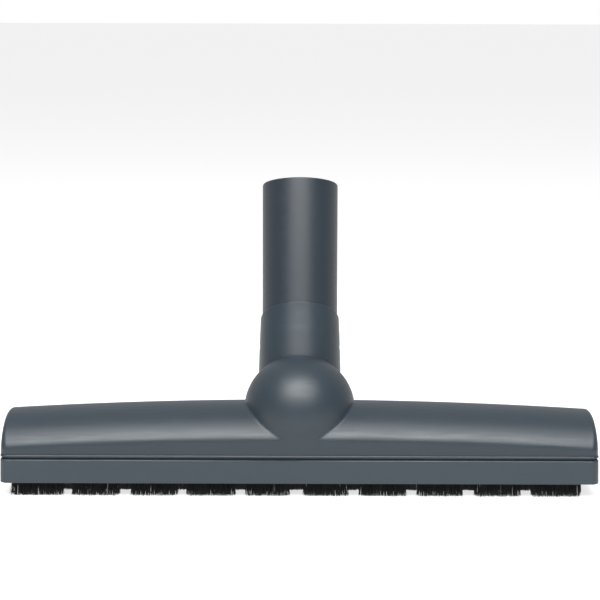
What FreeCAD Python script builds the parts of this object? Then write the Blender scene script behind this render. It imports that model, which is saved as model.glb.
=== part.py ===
import FreeCAD, Part
import math, os

os.makedirs("parts", exist_ok=True)
V = FreeCAD.Vector

# ---------------------------------------------------------------------------
# Hard-floor brush nozzle for a 35 mm vacuum-cleaner wand.
# X runs along the brush, -Y is the front, +Z is up, Z = 0 is the floor at the
# bristle tips.  All dimensions are millimetres.  The part is laid out about the
# centre of the brush body and then moved by ORIGIN_Y, so that its origin is
# under the middle of the whole part, on the rear bristle strip.
# ---------------------------------------------------------------------------

ORIGIN_Y = -21.0

# driving dimensions: housing
BODY_LEN = 299.8          # over the lower frame at its foot
BODY_DEPTH = 55.4
FRAME_Z0, FRAME_Z1 = 7.3, 19.3
FRAME_WALL = 2.4
PLAN_R = 4.0              # corner radius in plan
SHELL_Z0 = 20.3           # underside of the upper shell's rim
SHELL_HALF = 26.2         # half depth of the shell's upright wall
SHELL_LEN = 299.2
SHELL_T = 2.2
BEAD_OUT = 0.8            # rim bead stands this far proud of the wall
CROWN_Z = 43.6            # top of the shell at mid length
CROWN_DROP_R = 2430.0     # the whole shell bows along its length on this radius

# hood
HOOD_Z = 39.2
HOOD_R = 28.3
HOOD_T = 2.3
HOOD_EDGE_Y = 1.2

# tilting joint and tube
TILT_Y, TILT_Z = 13.206, 31.197
LEAN = 18.0               # lean of the tube from vertical at the front stop
TILT_RANGE = 60.0
BALL_R = 17.0
SEAT_R = 17.45
NECK_R = 21.5
RIM_L, RIM_SLANT, RIM_R = 52.45, 6.5, 20.5
COLLAR_IN_R = 18.1
LIP_IN_R = 19.85
LIP_L = 43.6
LEDGE_L = 12.5
DUCT_R = 15.0
TUBE_LEN = 124.35         # joint centre to mouth, along the tube
TUBE_R0, TUBE_R1 = 19.6, 19.93
SPIGOT_R = 18.0
SOCKET_R = 17.6
SOCKET_LEN = 50.0
MOUTH_LEAD = 0.9
CLIP_L = 37.7

# brushes
BR_F0, BR_F1 = 19.8, 23.2
BR_TOP = 11.2
NOTCH_Z = 2.9
TUFTS = [(-144.5, -118.75), (-113.75, -90.75), (-84.25, -61.25), (-56.25, -32.25),
         (-26.75, -5.25), (2.25, 24.25), (30.25, 53.25), (59.25, 81.75),
         (88.25, 110.75), (116.75, 141.25)]
HOLD_F0, HOLD_F1 = 19.1, 23.9
HOLD_Z0, HOLD_Z1 = 8.6, 11.6
SOLE_Z0, WEB_Z0, SOLE_Z1 = 7.5, 9.4, 11.2
SOLE_LEN = 294.2
SOLE_DEPTH = 50.4
MOUTH_X, MOUTH_Y = 20.0, 13.0
SCREW_X = (-130.0, -86.0, -46.0, 46.0, 86.0, 130.0)

# pivot
PIN_R = 2.45
BUSH_IN_R, BUSH_OUT_R = 2.5, 3.6
POST_X0, POST_X1 = 23.2, 28.2

a = math.radians(LEAN)
AX = V(0, math.sin(a), math.cos(a))          # along the tube, towards the mouth
FR = V(0, -math.cos(a), math.sin(a))         # across the tube, towards the front
P = V(0, TILT_Y, TILT_Z)
HC = V(0, 0, HOOD_Z)


def box(x0, x1, y0, y1, z0, z1):
    return Part.makeBox(x1 - x0, y1 - y0, z1 - z0, V(x0, y0, z0))


def cyl(r, h, base, d):
    return Part.makeCylinder(r, h, base, d)


def xcyl(r, x0, x1, y, z):
    return Part.makeCylinder(r, x1 - x0, V(x0, y, z), V(1, 0, 0))


def rounded_plan(hx, hy, r, z0, z1):
    w = box(-hx, hx, -hy, hy, z0, z1)
    e = [k for k in w.Edges if abs(k.Vertexes[0].X - k.Vertexes[-1].X) < 1e-6
         and abs(k.Vertexes[0].Y - k.Vertexes[-1].Y) < 1e-6]
    return w.makeFillet(r, e)


def tapered_plan(hx0, hx1, hy0, hy1, r, z0, z1):
    """Rounded rectangle at z0 blended straight to another at z1."""
    def wire(hx, hy, z):
        k = r
        pts = []
        segs = []
        c = [(hx - k, hy - k, 0), (-hx + k, hy - k, 90), (-hx + k, -hy + k, 180), (hx - k, -hy + k, 270)]
        for (cx, cy, a0) in c:
            p = [V(cx + k * math.cos(math.radians(a0 + t)), cy + k * math.sin(math.radians(a0 + t)), z)
                 for t in (0, 45, 90)]
            pts.append(p)
        for i in range(4):
            segs.append(Part.Arc(*pts[i]).toShape())
            segs.append(Part.makeLine(pts[i][2], pts[(i + 1) % 4][0]))
        return Part.Wire(segs)
    return Part.makeLoft([wire(hx0, hy0, z0), wire(hx1, hy1, z1)], True, True)


def revolve_about_tube(pts, start=P):
    """Solid of revolution from (radius, length) points, about the tube axis."""
    v = [start + FR * q[0] + AX * q[1] for q in pts]
    w = Part.makePolygon(v + [v[0]])
    return Part.Face(w).revolve(start, AX, 360)


def place(local):
    """Move a shape built about +Z at the origin onto the tube axis, +X kept."""
    s = local.copy()
    s.rotate(V(0, 0, 0), V(1, 0, 0), -LEAN)
    s.translate(P)
    return s


def save(shape, name):
    s = shape
    if s.ShapeType == "Compound" and len(s.Solids) == 1:
        s = s.Solids[0]
    s = s.copy()
    s.translate(V(0, ORIGIN_Y, 0))
    s.exportStep("parts/%s.step" % name)
    print(name, "solids", len(s.Solids), "vol %.1f" % s.Volume, "valid", s.isValid())


# ---------------------------------------------------------------------------
# upper shell
# ---------------------------------------------------------------------------
def bowed(inset, x_half, z0):
    """Shell section swept along its shallow bow; inset shrinks the section."""
    w = SHELL_HALF - inset
    top = CROWN_Z - inset
    if inset == 0:
        s = [V(0, -w, 28.4), V(0, -25.4, 31.0), V(0, -22.6, 34.6), V(0, -17.8, 38.7),
             V(0, -9.8, 42.35), V(0, 0, top)]
    else:
        s = [V(0, -w, 28.0), V(0, -23.2, 30.2), V(0, -20.7, 33.3), V(0, -16.4, 36.9),
             V(0, -9.1, 40.25), V(0, 0, top)]
    right = [V(0, -p.y, p.z) for p in reversed(s[:-1])]
    sp = Part.BSplineCurve()
    sp.interpolate(Points=s + right, InitialTangent=V(0, 0, 1), FinalTangent=V(0, 0, -1))
    lo = -4.0
    e = [sp.toShape(), Part.makeLine(right[-1], V(0, w, lo)), Part.makeLine(V(0, w, lo), V(0, -w, lo)),
         Part.makeLine(V(0, -w, lo), s[0])]
    f = Part.Face(Part.Wire(e))
    c = V(0, 0, CROWN_Z - CROWN_DROP_R)
    f.rotate(c, V(0, 1, 0), -4.0)
    sol = f.revolve(c, V(0, 1, 0), 8.0)
    if sol.ShapeType != "Solid":
        sol = Part.Solid(sol.Shells[0]) if sol.Shells else sol
    if sol.Volume < 0:
        sol.reverse()
    hx = x_half
    clip = tapered_plan(hx, hx - 0.75, 40, 40, 3.0, z0, 60)
    corner = rounded_plan(hx + 0.02, w, PLAN_R - inset * 0.8, z0, 60)
    return sol.common(clip).common(corner)


hx_out = SHELL_LEN / 2
outer = bowed(0, hx_out, SHELL_Z0)
# soften the two end-top edges
try:
    es = []
    for e in outer.Edges:
        b = e.BoundBox
        if abs(abs(b.XMin) - abs(b.XMax)) < 1.2 and abs(b.XMin) > hx_out - 1.6 and b.XMin * b.XMax > 0 \
                and b.ZMin > 27.5 and e.Length > 0.5:
            es.append(e)
    outer_f = outer.makeFillet(2.6, es)
    if outer_f.isValid() and abs(outer_f.Volume - outer.Volume) < 3000:
        outer = outer_f
        print("end fillet ok", len(es))
except Exception as ex:
    print("end fillet skipped", ex)

front = box(-60, 60, -60, HOOD_EDGE_Y, SHELL_Z0, 100)
hood_out = Part.makeSphere(HOOD_R, HC).common(front)
hood_in = Part.makeSphere(HOOD_R - HOOD_T, HC).common(box(-60, 60, -60, HOOD_EDGE_Y + 1, 0, 100))

bead = tapered_plan(hx_out + 0.15, hx_out + 0.15, SHELL_HALF + BEAD_OUT, SHELL_HALF + BEAD_OUT, PLAN_R, SHELL_Z0, 21.5)
be = [e for e in bead.Edges if abs(e.BoundBox.ZMin - 21.5) < 1e-6 and abs(e.BoundBox.ZMax - 21.5) < 1e-6]
try:
    bead = bead.makeFillet(0.65, be)
except Exception as ex:
    print("bead fillet skipped", ex)

inner = bowed(SHELL_T, hx_out - SHELL_T, SHELL_Z0 - 3)

# passage for the neck: round at the front stop, then open to the rear
pass_front = cyl(NECK_R + 0.45, 90, P, AX)
prof = [V(-22.3, TILT_Y, TILT_Z), V(-22.3, TILT_Y, 13.0), V(-22.3, 90, 13.0),
        V(-22.3, 90, 125), V(-22.3, (P + AX * 95).y, (P + AX * 95).z)]
pass_rear = Part.Face(Part.makePolygon(prof + [prof[0]])).extrude(V(44.6, 0, 0))
passage = pass_front.fuse(pass_rear)

shell = outer.fuse(hood_out).fuse(bead)
shell = shell.cut(inner).cut(hood_in)
# screw bosses hang from the crown
for sx in SCREW_X:
    top = CROWN_Z - 1.2 - sx * sx / (2 * CROWN_DROP_R)
    boss = cyl(3.6, top - SOLE_Z1 - 0.1, V(sx, 0, SOLE_Z1 + 0.1), V(0, 0, 1))
    rib = box(sx - 0.7, sx + 0.7, -14, 14, 30, top + 0.4)
    shell = shell.fuse(boss).fuse(rib.common(outer))
    shell = shell.cut(cyl(1.3, 13.2, V(sx, 0, SOLE_Z1 - 1), V(0, 0, 1)))
shell = shell.cut(passage)
shell = shell.removeSplitter()
save(shell, "upper_shell")

# ---------------------------------------------------------------------------
# lower frame with the two pivot posts
# ---------------------------------------------------------------------------
hx, hy = BODY_LEN / 2, BODY_DEPTH / 2
frame = tapered_plan(hx, hx - 0.25, hy, hy - 0.1, PLAN_R, FRAME_Z0, FRAME_Z1)
te = [e for e in frame.Edges if abs(e.BoundBox.ZMin - FRAME_Z1) < 1e-6 and abs(e.BoundBox.ZMax - FRAME_Z1) < 1e-6]
try:
    frame = frame.makeFillet(0.7, te)
except Exception as ex:
    print("frame top fillet skipped", ex)
be = [e for e in frame.Edges if abs(e.BoundBox.ZMin - FRAME_Z0) < 1e-6 and abs(e.BoundBox.ZMax - FRAME_Z0) < 1e-6]
try:
    frame = frame.makeFillet(0.4, be)
except Exception as ex:
    print("frame foot fillet skipped", ex)
frame = frame.cut(rounded_plan(hx - FRAME_WALL, hy - FRAME_WALL, PLAN_R - 1.6, 0, 40))
land = rounded_plan(hx - FRAME_WALL + 0.01, SHELL_HALF - 0.5, PLAN_R - 1.4, 17.6, SHELL_Z0)
tongue = rounded_plan(hx_out - SHELL_T - 0.15, SHELL_HALF - SHELL_T - 0.15, 2.2, SHELL_Z0, 22.4)
hollow = rounded_plan(hx_out - SHELL_T - 1.25, SHELL_HALF - SHELL_T - 1.25, 1.6, 0, 40)
land = land.fuse(rounded_plan(hx - FRAME_WALL + 0.01, hy - FRAME_WALL + 0.01, PLAN_R - 1.6, 17.6, 19.0))
frame = frame.fuse(land.fuse(tongue).cut(hollow))
ledge = rounded_plan(hx - FRAME_WALL + 0.01, hy - FRAME_WALL + 0.01, PLAN_R - 1.6, 12.5, 14.0)
ledge = ledge.cut(rounded_plan(hx - FRAME_WALL - 2.6, 22.4, 1.6, 0, 40))
frame = frame.fuse(ledge)
for s in (-1, 1):
    x0, x1 = sorted((s * POST_X0, s * POST_X1))
    wall = box(x0, x1, -24.9, 24.9, 12.5, FRAME_Z1 - 0.2)
    post = box(x0, x1, 7.3, 19.1, FRAME_Z1 - 0.5, TILT_Z).fuse(xcyl(5.9, x0, x1, TILT_Y, TILT_Z))
    web = Part.Face(Part.makePolygon([V(x0, -10, FRAME_Z1 - 0.4), V(x0, 7.6, FRAME_Z1 - 0.4), V(x0, 7.6, 29.0),
                                      V(x0, -10, FRAME_Z1 - 0.4)])).extrude(V(x1 - x0, 0, 0))
    lighten = box(x0 - 1, x1 + 1, -18, 4, 14.2, 17.2)
    frame = frame.fuse(wall.cut(lighten)).fuse(post).fuse(web)
frame = frame.cut(xcyl(BUSH_OUT_R, -40, 40, TILT_Y, TILT_Z))
frame = frame.cut(pass_rear).cut(Part.makeSphere(SEAT_R + 1.0, P))
for sx in SCREW_X:
    frame = frame.cut(cyl(4.0, 14, V(sx, 0, 10), V(0, 0, 1)))
frame = frame.removeSplitter()
save(frame, "base_frame")

# ---------------------------------------------------------------------------
# sole plate with the two brush channels and the suction mouth
# ---------------------------------------------------------------------------
sx_h, sy_h = SOLE_LEN / 2, SOLE_DEPTH / 2
sole = rounded_plan(sx_h, sy_h, 2.2, SOLE_Z0, SOLE_Z1)
for s in (-1, 1):
    y0, y1 = sorted((s * 18.0, s * sy_h))
    sole = sole.fuse(box(-sx_h + 1.0, sx_h - 1.0, y0, y1, SOLE_Z0, 12.4))
sole = sole.common(rounded_plan(sx_h, sy_h, 2.2, SOLE_Z0, 13))
for s in (-1, 1):
    y0, y1 = sorted((s * HOLD_F0 - s * 0.1, s * HOLD_F1 + s * 0.1))
    sole = sole.cut(box(-sx_h - 2, sx_h + 2, y0, y1, 8.5, 11.7))
    y0, y1 = sorted((s * 19.5, s * 23.5))
    sole = sole.cut(box(-145.4, 145.4, y0, y1, 6, 9))
# the dirt channel: a long shallow trough either side of the suction mouth
trough = rounded_plan(142.0, 16.6, 5.0, SOLE_Z0 - 1, WEB_Z0)
keep = None
for sx in SCREW_X:
    k = cyl(5.0, 6, V(sx, 0, SOLE_Z0 - 1), V(0, 0, 1))
    keep = k if keep is None else keep.fuse(k)
for rx in (-108.0, -66.0, 66.0, 108.0):
    keep = keep.fuse(box(rx - 0.8, rx + 0.8, -16.8, 16.8, SOLE_Z0 + 0.6, WEB_Z0 + 1))
sole = sole.cut(trough.cut(keep))
sole = sole.cut(rounded_plan(MOUTH_X, MOUTH_Y, 6.0, 0, 20))
for sx in SCREW_X:
    sole = sole.cut(cyl(1.75, 10, V(sx, 0, 4), V(0, 0, 1)))
    sole = sole.cut(cyl(3.2, 2.0, V(sx, 0, SOLE_Z0 - 0.5), V(0, 0, 1)))
sole = sole.removeSplitter()
save(sole, "sole_plate")

# ---------------------------------------------------------------------------
# brush strips: a channel-section carrier and its bristles, front and rear
# ---------------------------------------------------------------------------
def carrier(s):
    y0, y1 = sorted((s * HOLD_F0, s * HOLD_F1))
    c = box(-144.9, 144.9, y0, y1, HOLD_Z0, HOLD_Z1)
    y0, y1 = sorted((s * BR_F0, s * BR_F1))
    return c.cut(box(-146, 146, y0, y1, 5, BR_TOP))


def bristle_strip(s, tufts):
    y0, y1 = sorted((s * BR_F0, s * BR_F1))
    b = box(tufts[0][0], tufts[-1][1], y0, y1, NOTCH_Z, BR_TOP)
    for (t0, t1) in tufts:
        b = b.fuse(box(t0, t1, y0, y1, 0, NOTCH_Z + 0.5))
    return b.removeSplitter()


save(carrier(-1), "front_brush_carrier")
save(bristle_strip(-1, TUFTS), "front_bristles")
save(carrier(1), "rear_brush_carrier")
save(bristle_strip(1, [(-143.0, 143.0)]), "rear_bristles")

stops = []
for sx in (-1, 1):
    for sy in (-1, 1):
        x0, x1 = sorted((sx * 145.0, sx * 146.6))
        y0, y1 = sorted((sy * 19.1, sy * 23.9))
        st = box(x0, x1, y0, y1, 8.6, 11.6)
        stops.append(st)
save(Part.makeCompound(stops), "brush_end_stops")

# ---------------------------------------------------------------------------
# suction duct cradle and its lip seal, between the sole and the ball
# ---------------------------------------------------------------------------
aim = V(0, -13.2, -23.0)
aim.normalize()
cradle = box(-21.5, 21.5, -15.5, 17.7, SOLE_Z1 + 0.1, 24.4)
cradle = cradle.fuse(box(-21.5, 21.5, -15.5, 2.0, 20, 27.6))
ce = [e for e in cradle.removeSplitter().Edges]
cradle = cradle.removeSplitter()
ve = [e for e in cradle.Edges if abs(e.Vertexes[0].X - e.Vertexes[-1].X) < 1e-6
      and abs(e.Vertexes[0].Y - e.Vertexes[-1].Y) < 1e-6 and e.Vertexes[0].Y < -15]
try:
    cradle = cradle.makeFillet(4.0, ve)
except Exception as ex:
    print("cradle fillet skipped", ex)
cradle = cradle.cut(Part.makeSphere(SEAT_R, P))
cradle = cradle.cut(box(-19.3, 19.3, -13.2, 12.6, 5, 12.6))
cradle = cradle.cut(cyl(10.5, 40, P, aim))
cradle = cradle.cut(xcyl(6.6, -25, 25, TILT_Y, TILT_Z))
cradle = cradle.cut(Part.makeSphere(18.6, P).common(cyl(12.2, 40, P, aim)))
# lightening pockets either side of the duct
for s in (-1, 1):
    x0, x1 = sorted((s * 14.4, s * 19.6))
    cradle = cradle.cut(box(x0, x1, -13.3, -3.0, 14.4, 40))
cradle = cradle.removeSplitter()
save(cradle, "duct_cradle")

seal = Part.makeSphere(18.55, P).cut(Part.makeSphere(17.15, P))
seal = seal.common(cyl(12.15, 40, P, aim)).cut(cyl(10.5, 45, P - aim * 2, aim))
save(seal, "ball_seal")

# ---------------------------------------------------------------------------
# pivot bushes, pins and push-on clips
# ---------------------------------------------------------------------------
for nm, s in (("left", -1), ("right", 1)):
    x0, x1 = sorted((s * 23.2, s * 28.2))
    f0, f1 = sorted((s * 22.5, s * 23.2))
    b = xcyl(BUSH_OUT_R, x0, x1, TILT_Y, TILT_Z).fuse(xcyl(4.8, f0, f1, TILT_Y, TILT_Z))
    b = b.cut(xcyl(BUSH_IN_R, -40, 40, TILT_Y, TILT_Z)).removeSplitter()
    save(b, "pivot_bush_" + nm)
    x0, x1 = sorted((s * 14.9, s * 29.8))
    p = xcyl(PIN_R, x0, x1, TILT_Y, TILT_Z)
    pe = [e for e in p.Edges if len(e.Vertexes) == 1 or e.Closed]
    try:
        p = p.makeChamfer(0.35, [e for e in p.Edges if abs(abs(e.BoundBox.XMin) - 29.8) < 1e-6 and
                                 abs(abs(e.BoundBox.XMax) - 29.8) < 1e-6])
    except Exception as ex:
        print("pin chamfer skipped", ex)
    save(p, "pivot_pin_" + nm)
    x0, x1 = sorted((s * 28.6, s * 29.2))
    c = xcyl(4.4, x0, x1, TILT_Y, TILT_Z).cut(xcyl(PIN_R, -40, 40, TILT_Y, TILT_Z))
    save(c, "pin_clip_" + nm)

# ---------------------------------------------------------------------------
# housing screws, one node
# ---------------------------------------------------------------------------
scr = []
for sx in SCREW_X:
    hz = SOLE_Z0 - 0.5 + 2.0
    h = cyl(3.0, 1.4, V(sx, 0, hz - 1.4), V(0, 0, 1))
    h = h.fuse(cyl(1.3, 13.0, V(sx, 0, hz), V(0, 0, 1)))
    h = h.cut(box(sx - 2.0, sx + 2.0, -0.4, 0.4, hz - 2, hz - 0.6))
    h = h.cut(box(sx - 0.4, sx + 0.4, -2.0, 2.0, hz - 2, hz - 0.6))
    scr.append(h.removeSplitter())
save(Part.makeCompound(scr), "housing_screws")

# ---------------------------------------------------------------------------
# ball elbow: hollow ball, collar with a slanted rim, two pivot bosses
# ---------------------------------------------------------------------------
neck = revolve_about_tube([(0, 0), (16.6, 0), (16.72, 3.0), (17.6, 5.2), (19.3, 8.4), (20.8, 11.6), (NECK_R, 15.0),
                           (NECK_R - 0.1, 20), (NECK_R - 0.35, 32), (RIM_R + 0.3, 44), (RIM_R, 52), (RIM_R - 0.1, 60),
                           (0, 60)])
body = Part.makeSphere(BALL_R, P).fuse(neck)
# the rim lies in a slanted plane: higher at the front than at the rear
tilt = math.atan2(RIM_SLANT, RIM_R)
n = AX * math.cos(tilt) - FR * math.sin(tilt)
c0 = P + AX * RIM_L
cutter = Part.makeCylinder(60, 40, c0, n)
body = body.cut(cutter)
rim_e = [e for e in body.Edges if abs((e.CenterOfMass - c0).dot(n)) < 0.02 and e.Length > 60]
try:
    body = body.makeFillet(0.45, rim_e)
except Exception as ex:
    print("rim fillet skipped", ex)
for s in (-1, 1):
    x0, x1 = sorted((s * 10.0, s * 22.1))
    body = body.fuse(xcyl(6.0, x0, x1, TILT_Y, TILT_Z))
bore = revolve_about_tube([(0, -1), (DUCT_R - 0.3, -1), (DUCT_R, LEDGE_L), (COLLAR_IN_R, LEDGE_L), (COLLAR_IN_R, LIP_L),
                           (LIP_IN_R, LIP_L), (LIP_IN_R - 0.1, 66), (0, 66)])
body = body.cut(Part.makeSphere(BALL_R - 2.2, P)).cut(bore)
# inlet slot in the underside of the ball, long in the tilting direction
def dirn(deg):
    """Direction in the YZ plane, measured from straight down the tube; + is to the front."""
    t = math.radians(deg)
    return (AX * -1) * math.cos(t) + FR * math.sin(t)
w = [P] + [P + dirn(t) * 40 for t in (-68, -30, 10, 46)]
w = [V(-10.5, q.y, q.z) for q in w]
slot = Part.Face(Part.makePolygon(w + [w[0]])).extrude(V(21.0, 0, 0))
body = body.cut(slot)
# groove and two side windows for the retaining ring
groove = revolve_about_tube([(COLLAR_IN_R - 1, CLIP_L - 1.4), (19.5, CLIP_L - 1.4), (19.5, CLIP_L + 1.4),
                             (COLLAR_IN_R - 1, CLIP_L + 1.4)])
body = body.cut(groove)
win = place(box(-30, 30, -3.4, 3.4, CLIP_L - 1.4, CLIP_L + 1.4))
body = body.cut(win.cut(revolve_about_tube([(0, 0), (17.9, 0), (17.9, 60), (0, 60)])))
for s in (-1, 1):
    x0, x1 = sorted((s * 13.0, s * 30))
    body = body.cut(xcyl(PIN_R, x0, x1, TILT_Y, TILT_Z))
body = body.removeSplitter()
save(body, "ball_elbow")

felt = revolve_about_tube([(15.4, LEDGE_L), (17.9, LEDGE_L), (17.9, LEDGE_L + 1.5), (15.4, LEDGE_L + 1.5)])
save(felt, "swivel_seal")

# split retaining ring: sits in the collar groove, its two lugs fill the windows
ring = revolve_about_tube([(17.25, CLIP_L - 1.2), (19.35, CLIP_L - 1.2), (19.35, CLIP_L + 1.2), (17.25, CLIP_L + 1.2)])
lug = place(box(-20.75, 20.75, -3.0, 3.0, CLIP_L - 1.2, CLIP_L + 1.2))
lug = lug.cut(revolve_about_tube([(0, 0), (17.25, 0), (17.25, 60), (0, 60)]))
ring = ring.fuse(lug)
ring = ring.cut(place(box(-5, 5, 5, 30, CLIP_L - 3, CLIP_L + 3)))
ring = ring.removeSplitter()
save(ring, "retaining_ring")

# ---------------------------------------------------------------------------
# connecting tube: spigot below, wand socket above
# ---------------------------------------------------------------------------
L0 = LEDGE_L + 1.6
prof = [(15.5, L0), (SPIGOT_R, L0), (SPIGOT_R, CLIP_L - 1.6), (17.0, CLIP_L - 1.6), (17.0, CLIP_L + 1.6),
        (SPIGOT_R, CLIP_L + 1.6), (SPIGOT_R, LIP_L + 0.6), (TUBE_R0, LIP_L + 2.2), (TUBE_R0, 66.0),
        (TUBE_R1, TUBE_LEN - 0.8), (TUBE_R1 - 0.8, TUBE_LEN), (SOCKET_R + MOUTH_LEAD, TUBE_LEN),
        (SOCKET_R, TUBE_LEN - MOUTH_LEAD), (SOCKET_R, TUBE_LEN - MOUTH_LEAD - SOCKET_LEN),
        (15.5, TUBE_LEN - MOUTH_LEAD - SOCKET_LEN - 1.2)]
tube = revolve_about_tube(prof)
save(tube, "connecting_tube")
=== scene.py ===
import bpy
import math
import numpy as np
from mathutils import Matrix, Vector


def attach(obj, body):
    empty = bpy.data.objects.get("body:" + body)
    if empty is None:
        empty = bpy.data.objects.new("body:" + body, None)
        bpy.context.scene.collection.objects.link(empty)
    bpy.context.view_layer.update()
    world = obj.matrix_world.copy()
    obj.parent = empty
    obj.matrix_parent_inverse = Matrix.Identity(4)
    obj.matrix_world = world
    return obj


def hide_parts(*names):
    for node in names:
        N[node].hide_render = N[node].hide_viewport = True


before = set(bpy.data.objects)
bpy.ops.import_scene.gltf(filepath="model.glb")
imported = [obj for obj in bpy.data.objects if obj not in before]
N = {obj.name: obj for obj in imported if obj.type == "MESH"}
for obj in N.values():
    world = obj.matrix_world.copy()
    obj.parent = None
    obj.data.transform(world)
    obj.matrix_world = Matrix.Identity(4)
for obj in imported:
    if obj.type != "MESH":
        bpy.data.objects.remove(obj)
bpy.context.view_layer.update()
RNG = np.random.default_rng(20261119)

# Everything below is laid out in millimetres about the middle of the brush body and
# moved to the part's own origin when a mesh is made.
OY = -21.0
LEAN = math.radians(18.0)
P = np.array([0.0, 13.206, 31.197])
AX = np.array([0.0, math.sin(LEAN), math.cos(LEAN)])
FR = np.array([0.0, -math.cos(LEAN), math.sin(LEAN)])
EX = np.array([1.0, 0.0, 0.0])
HC = np.array([0.0, 0.0, 39.2])
HOOD_R, HOOD_T = 28.3, 2.3


def unit(v):
    v = np.asarray(v, float)
    return v / np.maximum(np.linalg.norm(v, axis=-1, keepdims=True), 1e-12)


def smooth(t):
    t = np.clip(t, 0.0, 1.0)
    return t * t * (3 - 2 * t)


# ---------------------------------------------------------------------------
# mesh builder: shared vertices, a normal for each corner
# ---------------------------------------------------------------------------
class Build:
    def __init__(self):
        self.v, self.n, self.f, self.fn = [], 0, [], []

    def verts(self, p):
        p = np.asarray(p, float).reshape(-1, 3)
        self.v.append(p)
        i = np.arange(self.n, self.n + len(p))
        self.n += len(p)
        return i

    def grid(self, idx, nrm, flip=False, close=False):
        """Quads over a (rows, columns) array of vertex numbers; nrm has a normal for each."""
        if close:
            idx = np.concatenate([idx, idx[:, :1]], 1)
            nrm = np.concatenate([nrm, nrm[:, :1]], 1)
        a, b, c, d = idx[:-1, :-1], idx[:-1, 1:], idx[1:, 1:], idx[1:, :-1]
        na, nb, nc, nd = nrm[:-1, :-1], nrm[:-1, 1:], nrm[1:, 1:], nrm[1:, :-1]
        q = [a, b, c, d] if not flip else [a, d, c, b]
        m = [na, nb, nc, nd] if not flip else [na, nd, nc, nb]
        q = np.stack([x.reshape(-1) for x in q], 1)
        m = np.stack([x.reshape(-1, 3) for x in m], 1)
        for k in range(len(q)):
            self.face(q[k], m[k])

    def face(self, q, m):
        keep, seen = [], []
        for k in range(len(q)):
            if q[k] not in seen:
                seen.append(q[k])
                keep.append(k)
        if len(keep) < 3:
            return
        self.f.append([int(q[k]) for k in keep])
        self.fn.extend([tuple(m[k]) for k in keep])

    def make(self, name, mat, body, nodes=()):
        v = np.concatenate(self.v)
        # wind every face so that it looks the way its normals say
        fn = np.array(self.fn)
        k = 0
        for i, q in enumerate(self.f):
            n = len(q)
            p = v[q]
            g = np.cross(p, np.roll(p, -1, axis=0)).sum(0)
            if g @ fn[k:k + n].sum(0) < 0:
                self.f[i] = q[::-1]
                fn[k:k + n] = fn[k:k + n][::-1].copy()
            k += n
        self.fn = fn
        v = (v + np.array([0, OY, 0])) / 1000.0
        me = bpy.data.meshes.new(name)
        me.from_pydata(v.tolist(), [], self.f)
        me.update()
        me.polygons.foreach_set("use_smooth", [True] * len(me.polygons))
        me.normals_split_custom_set([tuple(x) for x in unit(np.array(self.fn))])
        me.update()
        o = bpy.data.objects.new(name, me)
        bpy.context.scene.collection.objects.link(o)
        me.materials.append(mat)
        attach(o, body)
        if nodes:
            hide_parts(*nodes)
        return o


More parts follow.
